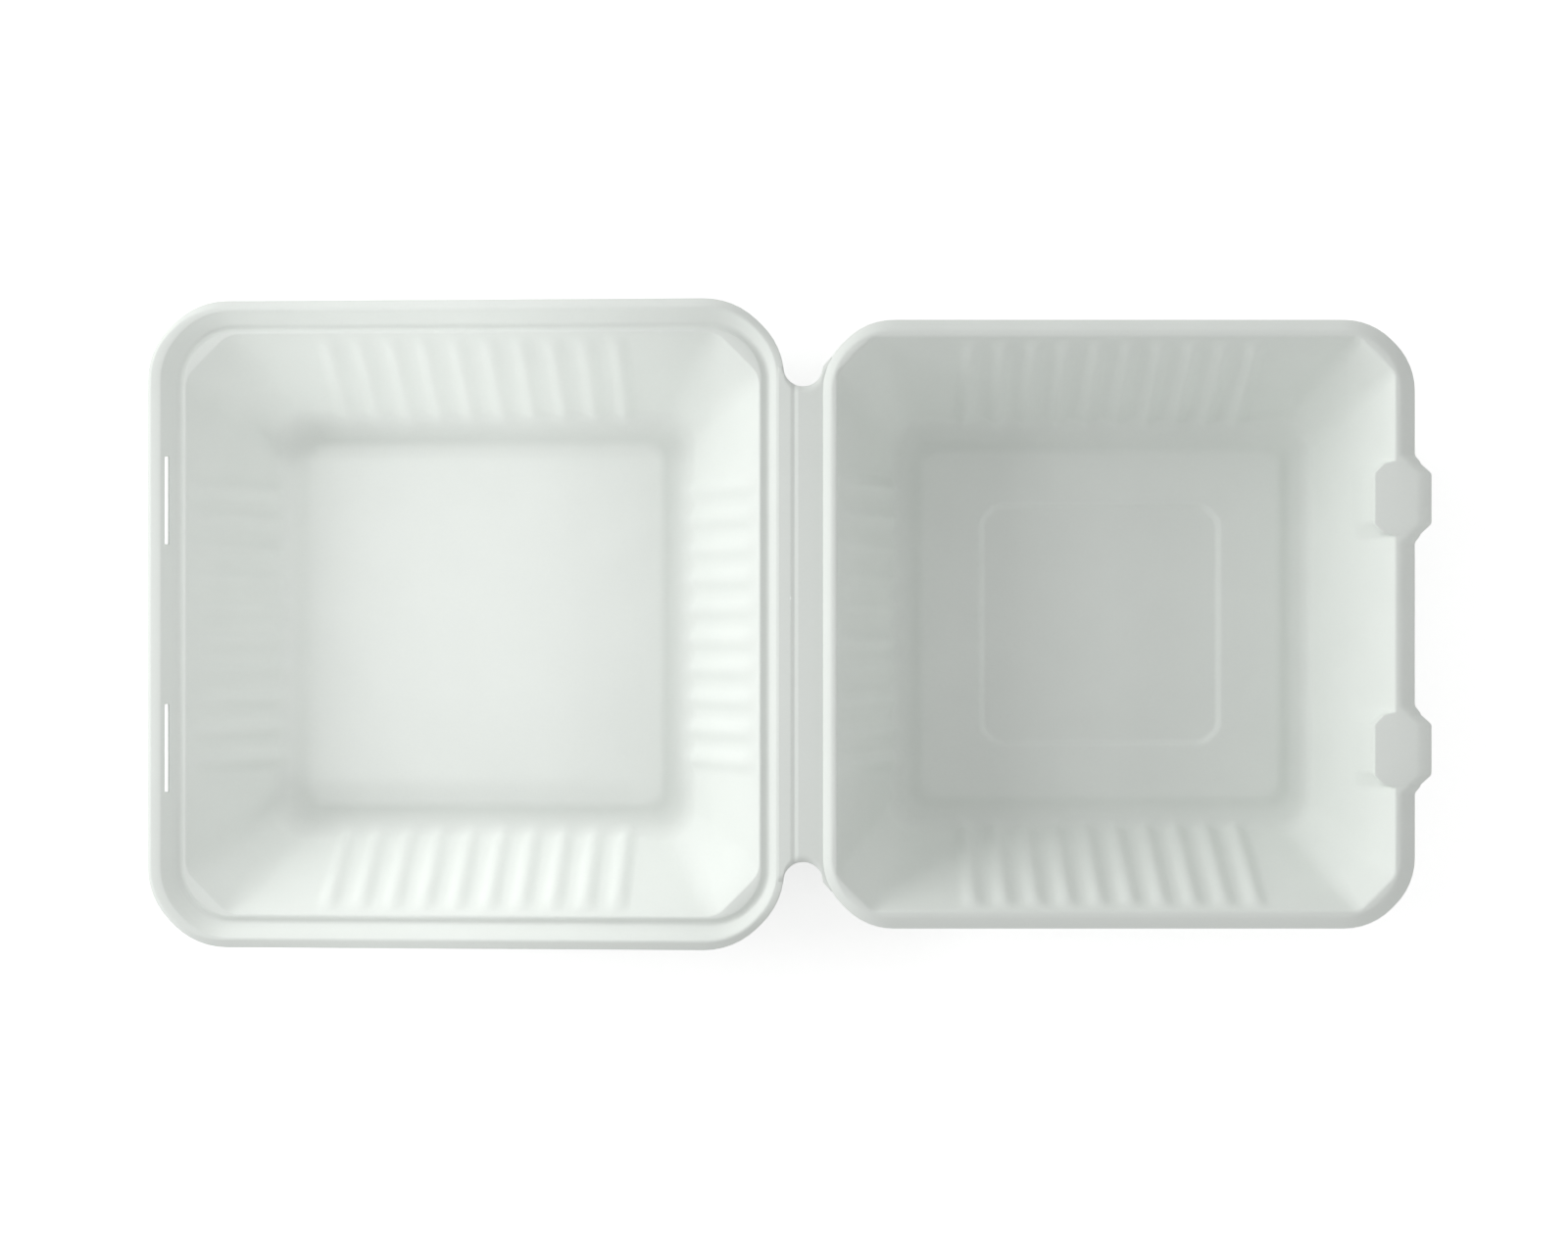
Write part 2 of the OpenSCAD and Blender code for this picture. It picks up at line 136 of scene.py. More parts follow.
def fibre_noise(place, turn, squeeze, scale):
    """Fibres that lie one way: noise on a place squeezed along Y and then turned."""
    laid = Node.make("ShaderNodeMapping", None, Vector=place, Rotation=turn, Scale=(1.0, squeeze, 1.0))
    return noise(Node(laid.outputs[0]), scale, 2.0, 0.55)


def pulp_material(name):
    """Cool white, clouded by coarse and fine noise, over fibres that cross each other in the bump."""
    material = bpy.data.materials.new(name)
    material.use_nodes = True
    Node.tree = material.node_tree
    Node.tree.nodes.clear()
    place = Node(Node.make("ShaderNodeTexCoord").outputs["Object"])
    clouds = noise(place, CLOUDS_PER_M, 3.0)
    grain = noise(place, GRAINS_PER_M, 3.0, 0.6)
    fibres = (fibre_noise(place, (0.2, 0.1, 0.5), 4.5, FIBRES_PER_M)
              + fibre_noise(place, (0.1, 0.4, 2.0), 5.0, CROSS_FIBRES_PER_M))
    tone = clouds * 0.5 + grain * 0.3 + fibres * 0.1
    ramp = Node.make("ShaderNodeValToRGB", {"stops": [(0.3, PULP_THIN), (0.62, PULP_THICK)]}, Fac=tone)
    height = grain * 0.35 + fibres * 0.4 + clouds * 0.6
    bump = Node.make("ShaderNodeBump", None, Height=height, Strength=0.35, Distance=FIBRE_HEIGHT)
    shader = Node.make(
        "ShaderNodeBsdfPrincipled", None,
        Base_Color=Node(ramp.outputs["Color"]),
        Roughness=0.62 + grain * 0.16,
        Normal=Node(bump.outputs["Normal"]),
        IOR=1.42,
        Specular_IOR_Level=0.32,
    )
    Node.make("ShaderNodeOutputMaterial", None, Surface=Node(shader.outputs[0]))
    return material


pulp = pulp_material("moulded_pulp")


# Base tray
# The deep half of the moulding: a rolled rim with two lock tabs over the front wall, ribbed
# walls, and a floor that stands on a gutter, with a square pressed into its raised middle.

MM = 0.001
# Sizes in millimetres. X runs from the crease to the tray's front, Z up from the web's top.
WALL = 0.8
BASE_H = 45.0
BASE_L = 210.0
BASE_W = 216.0
BASE_CORNER = 25.0
HINGE_BASE = 10.2
# The rolled rim: its height, its outer slope at the sides, hinge and front, and its flat top
BEAD_H = 3.0
BEAD_SLOPE = 4.0
BEAD_HINGE_SLOPE = 2.8
BEAD_FRONT_SLOPE = 5.4
BEAD_TOP = 2.2
# The mouth's corners, how far the walls lean in below them, and how deep the tabs' columns reach
BASE_MOUTH_CORNER = 15.0
BASE_MOUTH_BLEND = 6.0
BASE_LEAN_L = 21.0
BASE_LEAN_W = 26.0
TAB_COLUMN = 22.0
# The ribs of a side: their number, spacing, depth and half width, then how round their crest and
# feet are and where the feet are cut off, all three as shares of a rib's height
RIB_COUNT = 10
RIB_PITCH = 11.2
RIB_DEPTH = 1.6
RIB_HALF = 4.3
RIB_CREST = 0.3
RIB_FOOT = 0.1
RIB_CUT = 0.6
# The foot's gutter, the step up from it, the raised plateau and the square pressed into that
FOOT_CORNER = 11.5
FOOT_BLEND = 11.0
GUTTER = 7.4
STEP = 4.0
PLATEAU_H = 1.6
PLATEAU_CORNER = 7.0
PLATEAU_BLEND = 6.6
PANEL_HALF = 45.0
PANEL_CORNER = 9.0
PANEL_BLEND = 7.5
PANEL_STEP = 2.0
PANEL_DEPTH = 1.5
# The tabs: the pad's half length, its cut ends, its run back into the rim, and its reach
TAB_MIDS = (-44.5, 44.5)
TAB_HALF = 12.5
TAB_CHAMFER = 3.5
TAB_RUNOUT = 3.5
TAB_FLANK = 0.8
TAB_IN = 7.4
TAB_OUT = 5.4
TAB_SLOPE = 4.5
TAB_DROP = 1.2
# Columns of the mesh: how far from a side's middle they keep their places, at most this share of
# the side, and their steps over one rib, over the rest of a half side, and on a corner's arc
FRONT_REACH = 62.0
SIDE_REACH = 57.5
CORE_SHARE = 0.96
RIB_STEPS = 10
REST_STEPS = 8
ARC_STEPS = 6
EXTRA_CLEAR = 0.3
FRONT, LEFT, HINGE, RIGHT, CORNER = range(5)

crease = crease_x / MM
fold_rise = joint["pos_m"][2] / MM - BASE_H


def ring(near, far, half, corner, blend, z, soft=1.0, rib=0.0, z_hinge=None, tab=None, scale=1.0):
    """One rounded rectangle of a tray, with its share of the ribs, its place at the tabs, and soft,
    how far the edge along it is rounded."""
    return dict(near=near, far=far, half=half, corner=corner, blend=min(blend, 0.94 * corner), z=z, soft=soft,
                rib=rib, z_hinge=z if z_hinge is None else z_hinge, tab=tab, scale=scale)


def inset(r, d, z, **more):
    """The ring moved in by d on every side, at height z."""
    return ring(r["near"] + d, r["far"] - d, r["half"] - d, max(1.0, r["corner"] - d),
                max(1.0, r["blend"] - d), z, **more)


def between(a, b, share, **more):
    """The ring at this share of the way from ring a to ring b."""
    mix = [a[key] + (b[key] - a[key]) * share for key in ("near", "far", "half", "corner", "blend", "z")]
    return ring(*mix, **more)


def cornered(r, corner, blend):
    """The same ring with other corners."""
    return {**r, "corner": corner, "blend": blend}


def tab_at(x, z=0.0, core=TAB_HALF - TAB_CHAMFER, half=TAB_HALF, flank=TAB_RUNOUT):
    """Where a ring goes at the tabs: its X and Z there, half its straight part, half the pad's
    length, and the length over which it runs back into the ring."""
    return dict(x=x, z=z, core=core, half=half, flank=flank)


def soft_rise(height):
    """The larger of 0 and height, with a soft turn: half of height and of its hypotenuse with RIB_FOOT."""
    return 0.5 * (height + np.sqrt(height * height + RIB_FOOT ** 2))


def rib_form(along, pitch):
    """Height of the row of ribs, 0 to 1: a ridge with a narrow round crest and soft feet. It is the
    soft rise of a tent of half width RIB_HALF round each rib's middle, cut off a little below 0."""
    first = (RIB_COUNT - 1) / 2
    nearest = np.clip(np.round(along / pitch + first), 0, RIB_COUNT - 1) - first
    x = np.abs(along - nearest * pitch) / RIB_HALF
    height = soft_rise(1.0 - np.sqrt(x * x + RIB_CREST ** 2))
    peak = soft_rise(1.0 - RIB_CREST)
    foot = soft_rise(-RIB_CUT)
    return np.clip((height - foot) / (peak - foot), 0, 1)


def tray_side(pitch, reach, ribbed=True, extra=()):
    """Columns of one side: places in even steps up to reach either way, with the extra ones among
    them, then the share 0 to 1 of what is left of each half, and the ribs' height at each."""
    even = np.linspace(-reach, reach, int(2 * reach / (pitch / RIB_STEPS)) + 1)
    if len(extra):
        clear = np.abs(even[:, None] - np.array(extra)[None, :]).min(1) > EXTRA_CLEAR
        even = np.sort(np.concatenate([even[clear], extra]))
    share = np.linspace(0, 1, REST_STEPS + 1)[1:]
    along = np.concatenate([np.full(REST_STEPS, -reach), even, np.full(REST_STEPS, reach)])
    rest = np.concatenate([share[::-1], np.zeros(len(even)), share])
    return along, rest, rib_form(along, pitch) if ribbed else np.zeros(len(along))


def tray_columns(sides):
    """All columns round the tray, counter-clockwise from the front side's right end; sides are the
    front, left, hinge and right one. A corner's columns turn by 45 degrees on a first arc, cross a
    flat, and turn on to 90 on a second."""
    arc = np.linspace(0, 45, ARC_STEPS + 1)
    turn = np.concatenate([arc, [45.0], arc + 45])[1:-1]
    second = np.concatenate([np.zeros(ARC_STEPS), [0.5], np.ones(ARC_STEPS)])
    blocks = []
    for kind, quarter_x, quarter_y in ((FRONT, 1, 1), (LEFT, -1, 1), (HINGE, -1, -1), (RIGHT, 1, -1)):
        way = -1 if kind in (LEFT, HINGE) else 1
        along, rest, rib = (values[::way] for values in sides[kind])
        blocks.append(np.broadcast_arrays(kind, along, rest, rib, np.abs(along).max(), 0, 0, 0, 0))
        way = quarter_x * quarter_y
        blocks.append(np.broadcast_arrays(CORNER, 0, 0, 0, 1, quarter_x, quarter_y,
                                          turn[::way], second[::way]))
    names = ("kind", "along", "rest", "rib", "reach", "quarter_x", "quarter_y", "turn", "second")
    return dict(zip(names, np.concatenate(blocks, axis=1).astype(float)))


def with_tabs(r, front, place, x, z):
    """The front side's X and Z with the tabs in it. Where a tab reaches past the ring, the ring is
    drawn out to its tip, less at its cut ends, and runs back by the cubic 3s2 - 2s3. Where it lies
    inside, the ring is let in round the hollow column under the pad and runs back in a line."""
    tab = r["tab"]
    off = np.abs(np.abs(place) - TAB_MIDS[1])
    cut = np.clip(np.minimum(off, tab["half"]) - tab["core"], 0, None)
    share = np.clip((tab["half"] + tab["flank"] - off) / tab["flank"], 0, 1)
    if tab["x"] > r["far"]:
        reach = np.maximum(r["far"], tab["x"] - cut) - r["far"]
        out = reach * share * share * (3 - 2 * share)
        drop = (tab["z"] - r["z"]) * out / (tab["x"] - r["far"])
        return np.where(front, r["far"] + out, x), np.where(front, z + drop, z)
    column = np.minimum(r["far"], tab["x"] + cut)
    return np.where(front, r["far"] + (column - r["far"]) * share, x), z


def ring_line(r, columns):
    """The ring's points, one for each column. On a side: the place along it, pushed in by the rib.
    At a corner: two arcs of radius blend whose centres lie corner and blend in from the sides."""
    kind, along, rest, reach = (columns[key] for key in ("kind", "along", "rest", "reach"))
    front, left, hinge, right, corner = (kind == each for each in (FRONT, LEFT, HINGE, RIGHT, CORNER))
    middle_x = (r["near"] + r["far"]) / 2
    # Sides: the ribbed part keeps its places, and the rest of each half fills up to the corner
    half_side = np.where(left | right, (r["far"] - r["near"]) / 2, r["half"]) - r["corner"]
    core = np.minimum(reach, CORE_SHARE * half_side)
    beyond = np.sign(along) * (core + (half_side - core) * rest)
    place = np.where(rest > 0, beyond, along * core / reach)
    push = RIB_DEPTH * r["rib"] * columns["rib"]
    x = np.select([front, hinge, left | right], [r["far"] - push, r["near"] + push, middle_x + place], 0.0)
    y = np.select([front | hinge, left, right], [place, r["half"] - push, push - r["half"]], 0.0)
    z = np.full(len(kind), float(r["z"]))
    # Corners
    turn = np.radians(columns["turn"])
    from_x = r["blend"] + (r["corner"] - r["blend"]) * columns["second"]
    from_y = r["corner"] + (r["blend"] - r["corner"]) * columns["second"]
    edge_x = np.where(columns["quarter_x"] > 0, r["far"], r["near"])
    x = np.where(corner, edge_x + columns["quarter_x"] * (r["blend"] * np.cos(turn) - from_x), x)
    y = np.where(corner, columns["quarter_y"] * (r["half"] - from_y + r["blend"] * np.sin(turn)), y)
    if r["tab"]:
        x, z = with_tabs(r, front, place, x, z)
    # A lip can be lower or higher along the hinge, and changes over the corner's length
    z = z + (r["z_hinge"] - r["z"]) * (1 - np.clip((x - r["near"]) / r["corner"], 0, 1))
    return np.stack([middle_x + (x - middle_x) * r["scale"], y * r["scale"], z], axis=1)


def rounded(lines, soft, steps):
    """Rows of points from the key lines: each inner key turns through a parabola that starts and
    ends soft away from it (less where a neighbour is near), so no edge stays sharp."""
    rows = [lines[0]]
    for k in range(1, len(lines) - 1):
        back = lines[k - 1] - lines[k]
        on = lines[k + 1] - lines[k]
        length_back = np.linalg.norm(back, axis=1, keepdims=True) + 1e-9
        length_on = np.linalg.norm(on, axis=1, keepdims=True) + 1e-9
        cut = np.minimum(soft[k], 0.46 * np.minimum(length_back, length_on))
        start = lines[k] + back / length_back * cut
        end = lines[k] + on / length_on * cut
        for t in np.linspace(0, 1, steps):
            rows.append((1 - t) ** 2 * start + 2 * t * (1 - t) * lines[k] + t * t * end)
    rows.append(lines[-1])
    return np.array(rows)


def under_lines(lines):
    """The underside's key lines: each point moved in by WALL along the mitre of the two faces it
    joins, whose normals are the cross products of the ring's direction and the way down."""
    direction = np.roll(lines, -1, axis=1) - np.roll(lines, 1, axis=1)
    normals = np.cross(direction[:-1] + direction[1:], lines[1:] - lines[:-1])
    normals /= np.linalg.norm(normals, axis=2, keepdims=True) + 1e-12
    outer = np.concatenate([normals[:1], normals])
    inner = np.concatenate([normals, normals[-1:]])
    alike = np.clip((outer * inner).sum(2, keepdims=True), -0.5, 1)
    return lines - WALL * (outer + inner) / (1 + alike)


def grid_quads(n_rows, n_columns, closed):
    """The four corners of each cell of a grid whose points are numbered row by row; in a closed grid
    the last column joins the first."""
    i = np.arange(n_rows - 1)[:, None]
    j = np.arange(n_columns if closed else n_columns - 1)[None, :]
    on = (j + 1) % n_columns
    corners = (i * n_columns + j, i * n_columns + on, (i + 1) * n_columns + on, (i + 1) * n_columns + j)
    return np.stack(corners, axis=2)


def add_piece(name, points, faces):
    """A smooth object of these points, in millimetres, and faces."""
    mesh = bpy.data.meshes.new(name)
    mesh.from_pydata((points * MM).tolist(), [], faces)
    mesh.validate()
    mesh.shade_smooth()
    piece = bpy.data.objects.new(name, mesh)
    bpy.context.scene.collection.objects.link(piece)
    return piece


EDGE_TURNS = np.radians([36, 72, 108, 144])


def add_tray(name, rings, columns, steps, place, cut=None):
    """A closed tray: the upper skin from its middle out to the rim, a round edge, and the underside
    back to the middle, all one grid of rows and columns with a cap at each end. cut takes cells out
    of the grid and gives the walls of the holes."""
    lines = np.array([ring_line(r, columns) for r in rings])
    soft = [r["soft"] for r in rings]
    top = rounded(lines, soft, steps)
    bottom = rounded(under_lines(lines), soft, steps)
    # Round edge: half a circle from the upper skin's rim line to the underside's
    middle = (top[0] + bottom[0]) / 2
    arm = top[0] - middle
    outward = top[0] - top[1]
    outward *= np.linalg.norm(arm, axis=1, keepdims=True) / np.linalg.norm(outward, axis=1, keepdims=True)
    edge = [middle + arm * math.cos(turn) + outward * math.sin(turn) for turn in EDGE_TURNS]
    rows = np.concatenate([top[::-1], edge, bottom])
    n_rows, n_columns = rows.shape[:2]
    keep = np.ones((n_rows - 1, n_columns), bool)
    walls = cut(keep, len(top), n_columns) if cut else []
    faces = grid_quads(n_rows, n_columns, True)[keep].tolist() + walls
    faces.append(list(range(n_columns))[::-1])
    faces.append(list(range((n_rows - 1) * n_columns, n_rows * n_columns)))
    return add_piece(name, place(rows.reshape(-1, 3)), faces)


base_edge = ring(HINGE_BASE, HINGE_BASE + BASE_L, BASE_W / 2, BASE_CORNER, BASE_CORNER, 0.0)
tab_tip = base_edge["far"] + TAB_OUT
tab_tip_z = BEAD_H - TAB_DROP
base_edge["tab"] = tab_at(tab_tip, tab_tip_z)
crest_near = base_edge["near"] + BEAD_HINGE_SLOPE
crest_far = base_edge["far"] - BEAD_FRONT_SLOPE
crest_half = base_edge["half"] - BEAD_SLOPE
crest_corner = BASE_CORNER - BEAD_SLOPE
mouth_far = crest_far - BEAD_TOP
column_x = mouth_far - TAB_IN
floor_z = WALL - BASE_H
plateau_z = floor_z + PLATEAU_H
panel_z = plateau_z - PANEL_DEPTH
base_mouth = ring(
    crest_near + BEAD_TOP, mouth_far, crest_half - BEAD_TOP,
    BASE_MOUTH_CORNER, BASE_MOUTH_BLEND, BEAD_H, soft=1.2,
    tab=tab_at(column_x, flank=TAB_FLANK),
)
base_foot = ring(
    base_mouth["near"] + BASE_LEAN_L, mouth_far - BASE_LEAN_L, base_mouth["half"] - BASE_LEAN_W,
    FOOT_CORNER, FOOT_BLEND, floor_z, soft=6.0, rib=1.0,
)
middle_x = (base_mouth["near"] + mouth_far) / 2
panel = ring(
    middle_x - PANEL_HALF, middle_x + PANEL_HALF, PANEL_HALF,
    PANEL_CORNER, PANEL_BLEND, plateau_z, soft=0.8,
)
# From the rim to the middle of the floor. Down the wall the corners grow rounder, the tabs'
# columns fade out, and the ribs start.
base_rings = [
    base_edge,
    ring(crest_near, crest_far, crest_half, crest_corner, crest_corner, BEAD_H, soft=1.2,
         tab=tab_at(tab_tip - TAB_SLOPE, BEAD_H)),
    base_mouth,
    cornered(between(base_mouth, base_foot, 0.03, soft=1.2,
                     tab=tab_at(column_x, half=TAB_HALF - 0.4, flank=1.2)), 15.2, 6.5),
    cornered(between(base_mouth, base_foot, 0.12, soft=2.4, rib=1.0,
                     tab=tab_at(column_x - 0.1, core=TAB_HALF - TAB_CHAMFER - 0.5,
                                half=TAB_HALF - 2.0, flank=3.4)), 15.4, 8.0),
    cornered(between(base_mouth, base_foot, TAB_COLUMN / (BEAD_H - floor_z), soft=3.0, rib=1.0), 15.0, 12.5),
    base_foot,
    cornered(inset(base_foot, GUTTER, floor_z, soft=2.1), PLATEAU_CORNER, PLATEAU_BLEND),
    cornered(inset(base_foot, GUTTER + STEP, plateau_z, soft=2.1), PLATEAU_CORNER, PLATEAU_BLEND),
    panel,
    inset(panel, PANEL_STEP, panel_z, soft=0.8),
] + [inset(panel, PANEL_STEP, panel_z, scale=scale) for scale in (0.7, 0.35, 0.05)]
# Columns close beside each bend in a tab's outline
tab_bends = np.array([
    TAB_HALF - TAB_CHAMFER - 0.4, TAB_HALF - TAB_CHAMFER + 0.4,
    TAB_HALF - 0.25, TAB_HALF + 0.1, TAB_HALF + 0.4,
    TAB_HALF + TAB_FLANK - 0.1, TAB_HALF + TAB_FLANK + 0.25, TAB_HALF + TAB_RUNOUT,
])
tab_places = np.sort(np.concatenate([mid + side * tab_bends for mid in TAB_MIDS for side in (-1, 1)]))
base_front = tray_side(RIB_PITCH, FRONT_REACH, ribbed=False, extra=tab_places)
base_side = tray_side(RIB_PITCH, SIDE_REACH)


def base_place(points):
    """From the tray's own frame to the row's: X from the crease, Z from the top of the web."""
    return points + np.array([crease, 0, BASE_H])


base_columns = tray_columns([base_front, base_side, base_side, base_side])
base_tray = add_tray("base_tray", base_rings, base_columns, 4, base_place)
base_tray.data.materials.append(pulp)
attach(base_tray, "base")
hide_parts("base")


# Lid tray
# The shallower half, a little wider than the base: its ridge sits on the base's rim, a channel
# and a skirt go round it, and two slots in the front skirt take the base's tabs.

LID_DEPTH = 36.0
LID_LEAN = 26.4
LID_GUTTER = 7.2
LID_RIB_PITCH = 11.6
LID_FRONT_RIB_PITCH = 11.0
LID_FRONT_REACH = 61.0
LID_STEPS = 3
LID_MOUTH_CORNER = 19.0
LID_MOUTH_BLEND = 9.0
HINGE_LID = 4.0
# The rim from the mouth outwards: ridge, channel, skirt and rolled lip
LID_CORNER = 28.5
RIDGE_CORNER = 18.0
RIDGE_TOP = 0.8
RIDGE_H = 0.9
RIDGE_FLANK = 1.3
CHANNEL_W = 1.3
SKIRT_W = 4.6
SKIRT_HINGE_W = 3.0
LIP_RISE = 1.8
LIP_TOP = 0.8
LIP_FRONT_TOP = 3.9
LIP_W = 2.9
LIP_FRONT_W = 1.6
LIP_DROP = 2.6
# Room between the shut halves, the tabs' reach into the slots, and the slots' own sizes
RIDGE_PLAY = 0.3
SEAT_GAP = 0.4
TAB_REACH = 0.4
SLOT_HALF = 15.7
SLOT_HALF_H = 0.6
SLOT_RING = 3

tilt = math.radians(joint["range_deg"][1] - 180)
ridge_z = 2 * fold_rise - BEAD_H - SEAT_GAP
channel_z = ridge_z - RIDGE_H
rim_in = RIDGE_TOP + RIDGE_FLANK + CHANNEL_W
tip_depth = 2 * fold_rise - channel_z - tab_tip_z
slot_z = 2 * fold_rise - tab_tip_z + WALL / 2
lid_mouth_far = tab_tip - TAB_REACH - tip_depth * SKIRT_W / (LIP_RISE - channel_z) - rim_in
lid_mouth = ring(
    crest_near - RIDGE_PLAY, lid_mouth_far, crest_half + RIDGE_PLAY,
    LID_MOUTH_CORNER, LID_MOUTH_BLEND, ridge_z, soft=0.4,
)
lid_foot = ring(
    lid_mouth["near"] + LID_LEAN, lid_mouth_far - LID_LEAN, lid_mouth["half"] - LID_LEAN,
    FOOT_CORNER, FOOT_BLEND, WALL - LID_DEPTH, soft=5.5, rib=1.0,
)
lid_plateau_z = lid_foot["z"] + PLATEAU_H


def rim(d, d_hinge, d_front, corner, z, z_hinge, soft):
    """A ring of the lid's rim that stands d outside its mouth, d_hinge at the hinge and d_front
    at the front, at height z, and z_hinge along the hinge."""
    return ring(lid_mouth["near"] - d_hinge, lid_mouth["far"] + d_front, lid_mouth["half"] + d,
                corner, corner, z, soft, z_hinge=z_hinge)


def skirt(z, soft):
    """The skirt's ring at height z, on the straight slope from the channel up to the lip."""
    share = (z - channel_z) / (LIP_RISE - channel_z)
    low_corner = RIDGE_CORNER + RIDGE_FLANK + CHANNEL_W
    corner = low_corner + (LID_CORNER - LIP_W - LIP_TOP - low_corner) * share
    return rim(rim_in + SKIRT_W * share, rim_in + SKIRT_HINGE_W * share, rim_in + SKIRT_W * share,
               corner, z, channel_z * (1 - share), soft)


def level_rim(d, corner, z, soft):
    """A ring of the rim that stands as far out on every side and is level."""
    return rim(d, d, d, corner, z, z, soft)


# From the lip to the middle of the floor, as in the base
lid_rings = [
    rim(rim_in + SKIRT_W + LIP_TOP + LIP_W, lid_mouth["near"] - HINGE_LID,
        rim_in + SKIRT_W + LIP_FRONT_TOP + LIP_FRONT_W, LID_CORNER, LIP_RISE - LIP_DROP, 0.0, 0),
    rim(rim_in + SKIRT_W + LIP_TOP, rim_in + SKIRT_HINGE_W + LIP_TOP,
        rim_in + SKIRT_W + LIP_FRONT_TOP, LID_CORNER - LIP_W, LIP_RISE, 0.0, 0.5),
    skirt(LIP_RISE, 0.4),
    skirt(slot_z + SLOT_HALF_H, 0.02),
    skirt(slot_z - SLOT_HALF_H, 0.02),
    level_rim(rim_in, RIDGE_CORNER + RIDGE_FLANK + CHANNEL_W, channel_z, 0.6),
    level_rim(RIDGE_TOP + RIDGE_FLANK, RIDGE_CORNER + RIDGE_FLANK, channel_z, 0.6),
    level_rim(RIDGE_TOP, RIDGE_CORNER, ridge_z, 0.4),
    lid_mouth,
    cornered(between(lid_mouth, lid_foot, 0.04, soft=1.2), LID_MOUTH_CORNER, 9.4),
    cornered(between(lid_mouth, lid_foot, 0.16, soft=2.8, rib=1.0), LID_MOUTH_CORNER, 11.5),
    cornered(between(lid_mouth, lid_foot, 0.5, soft=4.0, rib=1.0), 16.5, 14.0),
    lid_foot,
    cornered(inset(lid_foot, LID_GUTTER, lid_foot["z"], soft=2.6), PLATEAU_CORNER, PLATEAU_BLEND),
    cornered(inset(lid_foot, LID_GUTTER + STEP, lid_plateau_z, soft=2.0), PLATEAU_CORNER, PLATEAU_BLEND),
] + [cornered(inset(lid_foot, LID_GUTTER + STEP, lid_plateau_z, scale=scale), PLATEAU_CORNER, PLATEAU_BLEND)
     for scale in (0.7, 0.35, 0.04)]
slot_ends = np.sort([mid + side * SLOT_HALF for mid in TAB_MIDS for side in (-1, 1)])
lid_front = tray_side(LID_FRONT_RIB_PITCH, LID_FRONT_REACH, extra=slot_ends)
lid_side = tray_side(LID_RIB_PITCH, SIDE_REACH)
lid_hinge_side = tray_side(LID_FRONT_RIB_PITCH, SIDE_REACH)
lid_columns = tray_columns([lid_front, lid_side, lid_hinge_side, lid_side])


def lid_place(points):
    """Mirrored in X, then tipped about the fold's axis until its foot's front edge is on the table."""
    x, y, z = -points[:, 0], points[:, 1], points[:, 2] - fold_rise
    c, s = math.cos(tilt), math.sin(tilt)
    return np.stack([x * c - z * s + crease, y, x * s + z * c + fold_rise + BASE_H], axis=1)


def cut_slots(keep, n_top, n_columns):
    """Takes the cells between the two slot rings out of both skins, from one end of each slot to the
    other, and gives the walls of the two holes. Each ring turns over LID_STEPS rows, so a slot lies
    between the last row of its upper ring and the next row."""
    row = SLOT_RING * LID_STEPS
    top_high, top_low = n_top - 1 - row, n_top - 2 - row
    under_high, under_low = n_top + len(EDGE_TURNS) + row, n_top + len(EDGE_TURNS) + row + 1
    front = np.where((lid_columns["kind"] == FRONT) & (lid_columns["rest"] == 0))[0]
    along = lid_columns["along"][front]
    walls = []
    for mid in TAB_MIDS:
        start, stop = (front[np.argmin(np.abs(along - mid - side * SLOT_HALF))] for side in (-1, 1))
        keep[top_low, start:stop] = False
        keep[under_high, start:stop] = False
        a, b, c, d = (k * n_columns for k in (top_high, top_low, under_high, under_low))
        j = np.arange(start, stop)
        upper_wall = np.stack([a + j, a + j + 1, c + j + 1, c + j], axis=1)
        lower_wall = np.stack([b + j + 1, b + j, d + j, d + j + 1], axis=1)
        walls += np.stack([upper_wall, lower_wall], axis=1).reshape(-1, 4).tolist()
        walls.append([a + start, c + start, d + start, b + start])
        walls.append([a + stop, b + stop, d + stop, c + stop])
    return walls


lid_tray = add_tray("lid_tray", lid_rings, lid_columns, LID_STEPS, lid_place, cut_slots)
# Mirroring turned every face inside out
lid_tray.data.flip_normals()
lid_tray.data.materials.append(pulp)
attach(lid_tray, "lid")
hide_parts("lid")


# Hinge web
# The flat strip between the two rims, part of the same moulding, with a groove pressed across
# it to fold on and a round notch at each end.

WEB_LEN = 169.0
WEB_LAP_LID = 1.9
WEB_LAP_BASE = 3.0
WEB_LAP_SLOPE = 1.1
WEB_LAP_SHARE = 0.3
WEB_STEPS = 60
GROOVE_HALF = 1.4
GROOVE_DEPTH = 0.42
GROOVE_UNDER = 0.2
WEB_PROUD = 0.03

# Rows across the web, close together over the groove, and how far each reaches to either end
across = np.concatenate([
    np.linspace(-HINGE_LID - WEB_LAP_LID, -GROOVE_HALF - 0.2, 10),
    np.linspace(-GROOVE_HALF, GROOVE_HALF, 15),
    np.linspace(GROOVE_HALF + 0.3, HINGE_BASE, 17),
    np.linspace(HINGE_BASE + 0.3, HINGE_BASE + WEB_LAP_BASE, 8),
])
notch_r = (HINGE_LID + HINGE_BASE) / 2
notch_y = WEB_LEN / 2 + notch_r
notch = np.sqrt(np.clip(notch_r ** 2 - (across - (HINGE_BASE - HINGE_LID) / 2) ** 2, 0, None))
reach_y = notch_y - notch + WEB_LAP_SLOPE * np.clip(across - HINGE_BASE, 0, None)
groove = np.clip(1 - np.abs(across) / GROOVE_HALF, 0, 1)
